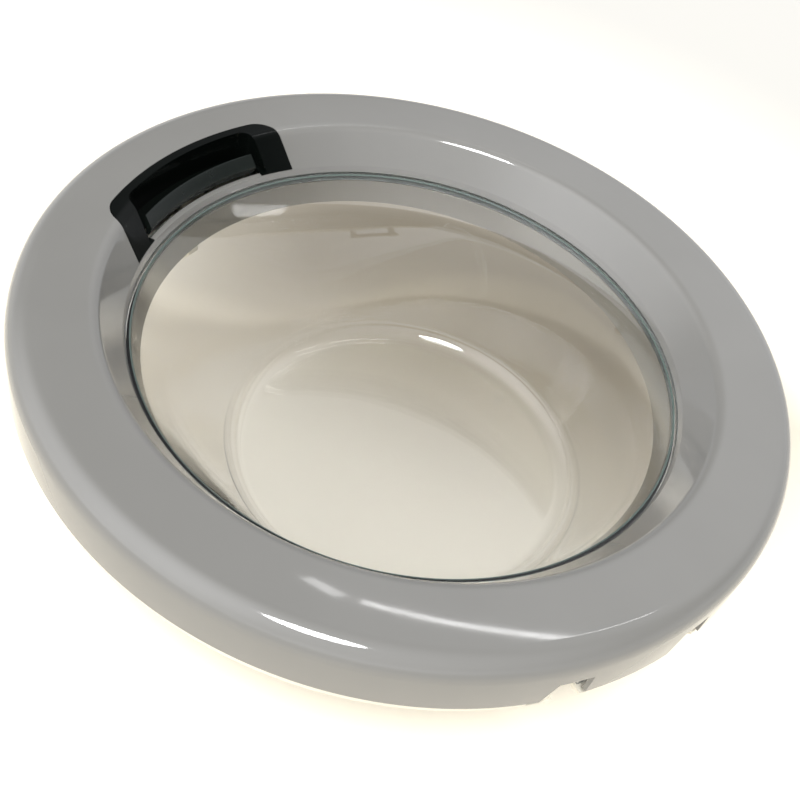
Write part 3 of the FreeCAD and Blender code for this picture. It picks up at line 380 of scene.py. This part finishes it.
# %% One screw
SCREW_HEAD = 3.9
SCREW_SHANK = 2.0
SCREW_TIP = 2.0
HEAD_ROUNDING = 0.7
CROSS_REACH = 2.4
CROSS_HALF = 0.6
CROSS_RISE = Vector((0, 0, 2.2 * MM))


def pick_faces(piece, wanted):
    bpy.ops.object.mode_set(mode="EDIT")
    bpy.ops.mesh.select_mode(type="FACE")
    bpy.ops.mesh.select_all(action="DESELECT")
    bpy.ops.object.mode_set(mode="OBJECT")
    for face in piece.data.polygons:
        face.select = wanted(face)
    bpy.ops.object.mode_set(mode="EDIT")


def cross_block():
    quarter = [(CROSS_REACH, -CROSS_HALF), (CROSS_REACH, CROSS_HALF), (CROSS_HALF, CROSS_HALF)]
    cross = []
    for count in range(4):
        corner = Matrix.Rotation(math.radians(90) * count, 3, "Z")
        cross += [corner @ Vector((across, along, -1)) * MM for across, along in quarter]
    return block("cross", cross, CROSS_RISE)


def screw(head, tip):
    begin_piece()
    bpy.ops.mesh.primitive_cylinder_add(vertices=32, radius=SCREW_HEAD * MM, depth=head * MM,
                                        location=(0, 0, head / 2 * MM))
    piece = bpy.context.object
    bpy.ops.object.transform_apply(location=True)
    pick_faces(piece, lambda face: face.normal.z > 0.9)
    bpy.ops.mesh.inset(thickness=(SCREW_HEAD - SCREW_SHANK) * MM)
    for rise in (tip - head - SCREW_TIP, SCREW_TIP):
        bpy.ops.mesh.extrude_region_move(TRANSFORM_OT_translate={"value": (0, 0, rise * MM)})
    bpy.ops.transform.resize(value=(1 / 3, 1 / 3, 1), center_override=(0, 0, tip * MM))
    bpy.ops.object.mode_set(mode="OBJECT")
    pick_faces(piece, lambda face: face.normal.z < -0.9)
    bpy.ops.mesh.bevel(offset=HEAD_ROUNDING * MM, segments=4, affect="EDGES")
    bpy.ops.mesh.select_mode(type="VERT")
    bpy.ops.object.mode_set(mode="OBJECT")
    combine(piece, cross_block(), "DIFFERENCE")
    return piece


# %% [markdown]
# The screws of a set are copies of one. Each is turned by another angle before it goes to its place,
# because screws stop where they bite and seldom in line.

# %% A set of screws
TURN_BETWEEN = 0.6


def screw_set(name, node, head, tip, places):
    model = screw(head, tip)
    copies = []
    for count, (across, along) in enumerate(places):
        pick(model)
        bpy.ops.object.duplicate()
        bpy.ops.transform.rotate(value=TURN_BETWEEN * count, orient_axis="Z", center_override=(0, 0, 0))
        bpy.ops.transform.translate(value=(across * MM, along * MM, 0))
        bpy.ops.object.transform_apply()
        copies.append(bpy.context.object)
    bpy.data.objects.remove(model)
    whole = copies[0]
    pick(whole)
    for copy in copies:
        copy.select_set(True)
    bpy.ops.object.join()
    whole.name = name
    whole.data.name = name
    smooth(whole)
    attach(whole, "door")
    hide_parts(node)
    print(name, len(whole.data.polygons), "faces")
    return whole


# %% [markdown]
# The ring screws stand on a circle, an eighth of a turn apart, with the handle in the eighth place. The
# other four are in pairs, one beside the finger hollow and one between the hinge arms.

# %% Places of the screws
SCREW_CIRCLE = 203.85
ring_places = []
for count in range(1, 8):
    turn = HANDLE_TURN + math.radians(45) * count
    ring_places.append((SCREW_CIRCLE * math.cos(turn), SCREW_CIRCLE * math.sin(turn)))
handle_places = [(turn_in @ Vector((180, side, 0)))[:2] for side in (-62.5, 62.5)]
hinge_places = [(-207, -15), (-207, 15)]
clamp_screws = screw_set("clamp_screws", "ring_screws", 2.2, 20.2, ring_places)
insert_screws = screw_set("insert_screws", "cup_screws", 2.2, 20.2, handle_places)
hinge_screws = screw_set("hinge_screws", "saddle_screws", 1.5, 6.0, hinge_places)

# %% [markdown]
# Every finish is made from nodes alone. Colours are written as they look on a screen and turned to linear
# light by one function. One small function adds a node, sets its values and links it, so a material reads
# as a recipe. A Mix node takes its two colours in sockets 6 and 7 and gives the mixed one in output 2.

# %% Colours and nodes
def linear(code):
    parts = [int(code[place:place + 2], 16) / 255 for place in (1, 3, 5)]
    light = [part / 12.92 if part < 0.04045 else ((part + 0.055) / 1.055) ** 2.4 for part in parts]
    return (*light, 1.0)


def add_node(tree, kind, settings=None, links=None):
    node = tree.nodes.new(kind)
    for name, setting in (settings or {}).items():
        if isinstance(name, str) and hasattr(node, name):
            setattr(node, name, setting)
        else:
            node.inputs[name].default_value = setting
    for name, source in (links or {}).items():
        tree.links.new(source, node.inputs[name])
    return node


def new_material(name):
    material = bpy.data.materials.new(name)
    material.use_nodes = True
    material.node_tree.nodes.clear()
    return material, material.node_tree


def finish_piece(piece, material):
    piece.data.materials.clear()
    piece.data.materials.append(material)
    print(piece.name, "finished in", material.name)


# %% [markdown]
# The ring is gloss-moulded ABS in a warm grey. Injection moulding leaves a very shallow waviness that
# bends long reflections, and handling leaves faint dull patches. The waviness is a low bump of about 30
# millimetres, and the patches, of about 25, vary the roughness. The insert and the grip bar are the same
# plastic dyed almost black, the bar a little lighter and duller.

# %% Gloss moulded ABS
def gloss_abs(name, colour, deeper, roughness, spread, coat, shine):
    material, tree = new_material(name)
    place = add_node(tree, "ShaderNodeTexCoord").outputs["Object"]
    cloud = add_node(tree, "ShaderNodeTexNoise", {"Scale": 1 / (60 * MM), "Detail": 3.0}, {"Vector": place})
    tint = add_node(tree, "ShaderNodeMix", {"data_type": "RGBA", 6: linear(colour), 7: linear(deeper)},
                    {"Factor": cloud.outputs["Fac"]})
    handled = add_node(tree, "ShaderNodeTexNoise", {
        "Scale": 1 / (25 * MM), "Detail": 5.0, "Roughness": 0.65}, {"Vector": place})
    dull = add_node(tree, "ShaderNodeMapRange", {
        "From Min": 0.35, "From Max": 0.75, "To Min": roughness, "To Max": roughness + spread},
        {"Value": handled.outputs["Fac"]})
    wave = add_node(tree, "ShaderNodeTexNoise", {"Scale": 1 / (30 * MM), "Detail": 1.0}, {"Vector": place})
    bump = add_node(tree, "ShaderNodeBump", {"Strength": 0.04, "Distance": 0.6 * MM},
                    {"Height": wave.outputs["Fac"]})
    shader = add_node(tree, "ShaderNodeBsdfPrincipled", {
        "IOR": 1.52, "Specular IOR Level": shine, "Coat Weight": coat, "Coat Roughness": 0.03}, {
        "Base Color": tint.outputs[2], "Roughness": dull.outputs["Result"],
        "Normal": bump.outputs["Normal"]})
    add_node(tree, "ShaderNodeOutputMaterial", None, {"Surface": shader.outputs["BSDF"]})
    return material


ring_abs = gloss_abs("gloss_moulded_grey_abs", "#757470", "#6F6E6A",
                     roughness=0.05, spread=0.03, coat=0.2, shine=0.5)
handle_abs = gloss_abs("gloss_moulded_dark_abs", "#070A08", "#050706",
                       roughness=0.08, spread=0.08, coat=0.0, shine=0.12)
grip_abs = gloss_abs("gloss_moulded_grip_abs", "#161B18", "#111513",
                     roughness=0.2, spread=0.12, coat=0.0, shine=0.3)
finish_piece(front_ring, ring_abs)
finish_piece(insert, handle_abs)
finish_piece(lever, grip_abs)

# %% [markdown]
# The rear ring is ABS from a spark-eroded mould: pale, warm and satin, with a fine grain that kills sharp
# reflections. The bushes are white acetal and the hook is natural nylon, and the hinge leaf is die-cast
# zinc under pale paint, all with the same kind of satin surface. A real grain is about 0.3 millimetres;
# here it is 0.6 to 0.9, so that it shows.


def grained_abs(name, colour, deeper, roughness, grain):
    material, tree = new_material(name)
    place = add_node(tree, "ShaderNodeTexCoord").outputs["Object"]
    cloud = add_node(tree, "ShaderNodeTexNoise", {"Scale": 1 / (80 * MM), "Detail": 4.0}, {"Vector": place})
    tint = add_node(tree, "ShaderNodeMix", {"data_type": "RGBA", 6: linear(colour), 7: linear(deeper)},
                    {"Factor": cloud.outputs["Fac"]})
    spark = add_node(tree, "ShaderNodeTexNoise", {"Scale": 1 / (grain * MM), "Detail": 2.0},
                     {"Vector": place})
    bump = add_node(tree, "ShaderNodeBump", {"Strength": 0.25, "Distance": 0.1 * MM},
                    {"Height": spark.outputs["Fac"]})
    dull = add_node(tree, "ShaderNodeMapRange", {"To Min": roughness - 0.05, "To Max": roughness + 0.08},
                    {"Value": cloud.outputs["Fac"]})
    shader = add_node(tree, "ShaderNodeBsdfPrincipled", {"IOR": 1.5}, {
        "Base Color": tint.outputs[2], "Roughness": dull.outputs["Result"],
        "Normal": bump.outputs["Normal"]})
    add_node(tree, "ShaderNodeOutputMaterial", None, {"Surface": shader.outputs["BSDF"]})
    return material


rear_abs = grained_abs("spark_grained_cream_abs", "#DAD5C6", "#D2CCBC", roughness=0.42, grain=0.6)
bearing = grained_abs("turned_white_acetal", "#E4E2DA", "#DCD9CF", roughness=0.35, grain=0.9)
nylon = grained_abs("moulded_natural_nylon", "#CFC8B6", "#C4BCA9", roughness=0.4, grain=0.7)
paint = grained_abs("painted_zinc_casting", "#C9C6BC", "#BDB9AE", roughness=0.38, grain=0.8)
finish_piece(nodes["rear_ring"], rear_abs)
finish_piece(nodes["upper_bush"], bearing)
finish_piece(nodes["lower_bush"], bearing)
finish_piece(nodes["latch_hook"], nylon)
finish_piece(nodes["hinge_leaf"], paint)

# %% [markdown]
# The rear ring's bore and the seat of the glass are painted a darker grey. This is painted shade, chosen
# because it tones down what shows through the collar. A grey film there is a guess, chosen because it
# tones down what shows through the collar. Both places lie within 173 millimetres of the door's axis, so
# the distance from the axis tells where the painted shade takes over from the plastic's colour.

# %% Painted shade in the bore
BORE_SHADE_REACH = 173
BORE_SHADE_EDGE = 0.5
tree = rear_abs.node_tree
plastic = tree.nodes["Mix"].outputs[2]
shader = tree.nodes["Principled BSDF"]
place = add_node(tree, "ShaderNodeTexCoord").outputs["Object"]
flat = add_node(tree, "ShaderNodeVectorMath", {"operation": "MULTIPLY", 1: (1, 1, 0)}, {0: place})
away = add_node(tree, "ShaderNodeVectorMath", {"operation": "LENGTH"}, {"Vector": flat.outputs["Vector"]})
bore_shade_mask = add_node(tree, "ShaderNodeMapRange", {
    "From Min": (BORE_SHADE_REACH + BORE_SHADE_EDGE) * MM, "From Max": (BORE_SHADE_REACH - BORE_SHADE_EDGE) * MM},
    {"Value": away.outputs["Value"]})
# This darker grey is painted shade on the bore and the seat of the glass.
painted_bore_shade = add_node(tree, "ShaderNodeMix", {"data_type": "RGBA", 7: linear("#857F72")},
                {"Factor": bore_shade_mask.outputs["Result"], 6: plastic})
tree.links.new(painted_bore_shade.outputs[2], shader.inputs["Base Color"])
print("film within", BORE_SHADE_REACH, "mm of the axis")

# %% [markdown]
# The pins, saddle and screws are zinc-plated steel: metal with a slightly blue brightness, clouded in
# spots of about 4 millimetres. The spring is drawn wire, darker and a little shinier.

# %% Plated and drawn steel
def plated_steel(name, colour, deeper, roughness):
    material, tree = new_material(name)
    place = add_node(tree, "ShaderNodeTexCoord").outputs["Object"]
    cloud = add_node(tree, "ShaderNodeTexNoise", {"Scale": 1 / (4 * MM), "Detail": 4.0}, {"Vector": place})
    tint = add_node(tree, "ShaderNodeMix", {"data_type": "RGBA", 6: linear(colour), 7: linear(deeper)},
                    {"Factor": cloud.outputs["Fac"]})
    dull = add_node(tree, "ShaderNodeMapRange", {"To Min": roughness - 0.08, "To Max": roughness + 0.1},
                    {"Value": cloud.outputs["Fac"]})
    shader = add_node(tree, "ShaderNodeBsdfPrincipled", {"Metallic": 1.0}, {
        "Base Color": tint.outputs[2], "Roughness": dull.outputs["Result"]})
    add_node(tree, "ShaderNodeOutputMaterial", None, {"Surface": shader.outputs["BSDF"]})
    return material


plated = plated_steel("zinc_plated_steel", "#C3C6C8", "#A9ACAE", roughness=0.32)
wire = plated_steel("drawn_spring_steel", "#9A9A98", "#84847F", roughness=0.28)
for name in ("lever_pin", "hinge_pin", "hinge_pin_clip", "hinge_saddle"):
    finish_piece(nodes[name], plated)
for piece in (clamp_screws, insert_screws, hinge_screws):
    finish_piece(piece, plated)
finish_piece(nodes["lever_spring"], wire)

# %% [markdown]
# The bowl is soda-lime glass. Its iron makes a long look through the edge teal while the wall itself
# stays clear, so the colour comes from absorption inside the glass and not from its surface. Pressing
# leaves a faint ripple of about 40 millimetres.

# %% Pressed soda-lime glass
glass_finish, tree = new_material("pressed_soda_lime_glass")
place = add_node(tree, "ShaderNodeTexCoord").outputs["Object"]
ripple = add_node(tree, "ShaderNodeTexNoise", {"Scale": 1 / (40 * MM), "Detail": 1.0}, {"Vector": place})
bump = add_node(tree, "ShaderNodeBump", {"Strength": 0.05, "Distance": 1 * MM},
                {"Height": ripple.outputs["Fac"]})
shader = add_node(tree, "ShaderNodeBsdfPrincipled", {
    "Base Color": (1, 1, 1, 1), "Roughness": 0.0, "IOR": 1.52, "Transmission Weight": 1.0},
    {"Normal": bump.outputs["Normal"]})
depth = add_node(tree, "ShaderNodeVolumeAbsorption", {"Color": linear("#8FD0BE"), "Density": 2.5})
add_node(tree, "ShaderNodeOutputMaterial", None, {
    "Surface": shader.outputs["BSDF"], "Volume": depth.outputs["Volume"]})
finish_piece(glass, glass_finish)

# %% [markdown]
# Clear all over, the flange would show as a thick teal line. So it is taken to be ground, which is a
# guess, where the rings hold it, underneath and round the outside, and along its rounded inner edge. The
# hidden faces are then dull and light, the edge is a thin dark line, and the top stays clear. Real grit
# is finer; at 0.8 millimetres it can be seen.

# %% Ground faces of the flange
HELD_LOW, HELD_TOP = 13, 20
HELD_REACH = 171
EDGE_LOW = 18.9
EDGE_REACH = 168


def ground_glass(name, colour, deeper):
    material, tree = new_material(name)
    place = add_node(tree, "ShaderNodeTexCoord").outputs["Object"]
    grit = add_node(tree, "ShaderNodeTexNoise", {"Scale": 1 / (0.8 * MM), "Detail": 2.0}, {"Vector": place})
    tint = add_node(tree, "ShaderNodeMix", {"data_type": "RGBA", 6: linear(colour), 7: linear(deeper)},
                    {"Factor": grit.outputs["Fac"]})
    shader = add_node(tree, "ShaderNodeBsdfPrincipled", {"Roughness": 0.6, "IOR": 1.52},
                      {"Base Color": tint.outputs[2]})
    add_node(tree, "ShaderNodeOutputMaterial", None, {"Surface": shader.outputs["BSDF"]})
    return material


glass.data.materials.append(ground_glass("ground_glass_flange", "#A8ABA6", "#9EA19B"))
glass.data.materials.append(ground_glass("ground_glass_edge", "#4E5B55", "#45514C"))
for face in glass.data.polygons:
    reach = math.hypot(face.center.x, face.center.y) / MM
    level = face.center.z / MM
    if HELD_LOW < level < HELD_TOP and reach > HELD_REACH:
        face.material_index = 1
    elif level > EDGE_LOW and reach < EDGE_REACH:
        face.material_index = 2
print("ground faces", sum(face.material_index > 0 for face in glass.data.polygons))

# %% [markdown]
# The door lies on a pale matt floor, a plane a hair below the bowl. Its paint is warm near the door, so the
# bowl, which looks straight down on it, shows a cream tone. A painted shade, a darker patch, lies below the
# far side of the door, because most of the bowl's shading is what is seen through it. It is paint, so it
# stays there when the door swings. Farther out the floor is painted a neutral grey, so the pale floor round
# the door is a painted pool of light. The grey stays below white so that the clear glass shows against it.

# %% Floor
FLOOR_GAP = 0.3 * MM
PAINTED_SHADE_MIDDLE = (0.20, -0.26, 0)
PAINTED_SHADE_FADE = (0.16, 0.42)
DOOR_FADE = (0.27, 0.41)
PAINTED_FALLOFF_FADE = (0.4, 0.75)
begin_piece()
bpy.ops.mesh.primitive_plane_add(size=60, location=(0, 0, solid_box[0].z - FLOOR_GAP))
floor = bpy.context.object
floor.name = "studio_floor"
floor_paint, tree = new_material("matt_floor_painted_shade")
place = add_node(tree, "ShaderNodeTexCoord").outputs["Object"]
aside = add_node(tree, "ShaderNodeVectorMath", {"operation": "DISTANCE", 1: PAINTED_SHADE_MIDDLE}, {0: place})
away = add_node(tree, "ShaderNodeVectorMath", {"operation": "LENGTH"}, {"Vector": place})
fades = []
for distance, (near, far) in ((aside, PAINTED_SHADE_FADE), (away, DOOR_FADE), (away, PAINTED_FALLOFF_FADE)):
    fade = add_node(tree, "ShaderNodeMapRange", {
        "interpolation_type": "SMOOTHSTEP", "From Min": near, "From Max": far},
        {"Value": distance.outputs["Value"]})
    fades.append(fade.outputs["Result"])
out_of_painted_shade = add_node(tree, "ShaderNodeMath", {"operation": "MAXIMUM"}, {0: fades[0], 1: fades[1]})
# The darker colour is painted shade below the far side of the door.
painted_shade_mix = add_node(tree, "ShaderNodeMix", {"data_type": "RGBA", 6: linear("#A39A89"), 7: linear("#EAE3D3")},
                {"Factor": out_of_painted_shade.outputs["Value"]})
# The grey farther out is a painted falloff, which leaves a painted pool of light round the door.
whole = add_node(tree, "ShaderNodeMix", {"data_type": "RGBA", 7: linear("#BFBDB7")},
                 {"Factor": fades[2], 6: painted_shade_mix.outputs[2]})
shader = add_node(tree, "ShaderNodeBsdfPrincipled", {"Roughness": 0.85, "Specular IOR Level": 0.1},
                  {"Base Color": whole.outputs[2]})
add_node(tree, "ShaderNodeOutputMaterial", None, {"Surface": shader.outputs["BSDF"]})
finish_piece(floor, floor_paint)

# %% [markdown]
# The main light is a sun high on the camera's side. Its disc is 18 degrees wide, which softens the
# shadows. A disc of 50 degrees leaves a pale patch on the ring's far slope.

# %% Sun
SUN_PLACE = Vector((-0.9, 0.95, 2.4))
SUN_STRENGTH = 2.9
SUN_WIDTH = 18
begin_piece()
bpy.ops.object.light_add(type="SUN", location=SUN_PLACE)
lamp = bpy.context.object
lamp.name = "roof_light"
lamp.rotation_euler = (-SUN_PLACE).to_track_quat("-Z", "Y").to_euler()
lamp.data.energy = SUN_STRENGTH
lamp.data.angle = math.radians(SUN_WIDTH)
print("sun", round(math.degrees(math.atan2(SUN_PLACE.z, SUN_PLACE.xy.length))), "degrees high")

# %% [markdown]
# A gloss surface shows its surroundings. Three thin tubes and a small pane hang level over the far side,
# and leave thin streaks and a pale spot on the near face of the ring. They are weak beside the sun, so
# they are seen in the gloss but hardly light the door.

# %% Tubes and pane
LAMP_LEVEL = 1.65
TUBE_MIDDLE = Vector((0.217, -0.891, LAMP_LEVEL))
TUBE_STEP = Vector((0.0071, -0.0084, 0))
PANE_PLACE = Vector((0.635, -0.553, LAMP_LEVEL))


def hanging_light(name, place, turn, size, deep, watts):
    begin_piece()
    bpy.ops.object.light_add(type="AREA", location=place, rotation=(0, 0, math.radians(turn)))
    lamp = bpy.context.object
    lamp.name = name
    lamp.data.shape = "RECTANGLE"
    lamp.data.size = size
    lamp.data.size_y = deep
    lamp.data.energy = watts
    print(name, "with", watts, "watts")


for count in (-1, 0, 1):
    hanging_light(f"tube_{count + 2}", TUBE_MIDDLE + TUBE_STEP * count, turn=40.3, size=0.9, deep=0.007,
                  watts=0.35)
hanging_light("pane", PANE_PLACE, turn=12, size=0.10, deep=0.05, watts=0.09)

# %% [markdown]
# The rest of the light is the room itself: an even glow, with four stronger glows added to it. Each is
# given by a direction, the two cosines between which it grows, and its strength. The third is measured
# from straight up with its cosines falling, so it lies round the horizon and below it.

# %% Room light
EVEN_GLOW = 0.24
GLOWS = [((0.2, -0.76, 0.62), 0.72, 1.0, 0.85),
         ((-0.55, 0.6, 0.58), 0.25, 1.0, 1.0),
         ((0, 0, 1), 0.36, 0.04, 0.55),
         ((0.25, 0.75, 0.6), 0.6, 1.0, 1.6)]
world = bpy.data.worlds.new("studio_room")
bpy.context.scene.world = world
world.use_nodes = True
tree = world.node_tree
toward = add_node(tree, "ShaderNodeTexCoord").outputs["Generated"]
# The first sum starts from the even glow, and each later one from the sum before it.
sum_links = {}
for side, edge, full, strength in GLOWS:
    facing = add_node(tree, "ShaderNodeVectorMath", {
        "operation": "DOT_PRODUCT", 1: Vector(side).normalized()}, {0: toward})
    glow = add_node(tree, "ShaderNodeMapRange", {
        "interpolation_type": "SMOOTHSTEP", "From Min": edge, "From Max": full, "To Max": strength},
        {"Value": facing.outputs["Value"]})
    sum_links[0] = glow.outputs["Result"]
    total = add_node(tree, "ShaderNodeMath", {"operation": "ADD", 1: EVEN_GLOW}, sum_links)
    sum_links[1] = total.outputs["Value"]
room = tree.nodes["Background"]
room.inputs["Color"].default_value = (0.95, 0.96, 1.0, 1)
tree.links.new(total.outputs["Value"], room.inputs["Strength"])
print("room with", len(GLOWS), "glows")

# %% [markdown]
# The camera looks down on the door at the photograph's angle. Its place and its three axes come from a
# fit to the ellipses of the ring, the glass rim and the bowl's floor. The Standard view shows the colours
# without a film curve.

# %% Camera
CAMERA_PLACE = (-0.3870, 0.3614, 0.5221)
CAMERA_RIGHT = (-0.5026, -0.8401, 0.2040)
CAMERA_UP = (0.7015, -0.2587, 0.6640)
CAMERA_BACK = (-0.5047, 0.4766, 0.7199)
aim = Matrix((CAMERA_RIGHT, CAMERA_UP, CAMERA_BACK)).transposed().to_euler()
begin_piece()
bpy.ops.object.camera_add(location=CAMERA_PLACE, rotation=aim)
camera = bpy.context.object
camera.data.lens = 54
camera.data.sensor_width = 36
bpy.context.scene.camera = camera
bpy.context.scene.view_settings.view_transform = "Standard"
print("camera with a lens of", camera.data.lens, "mm")
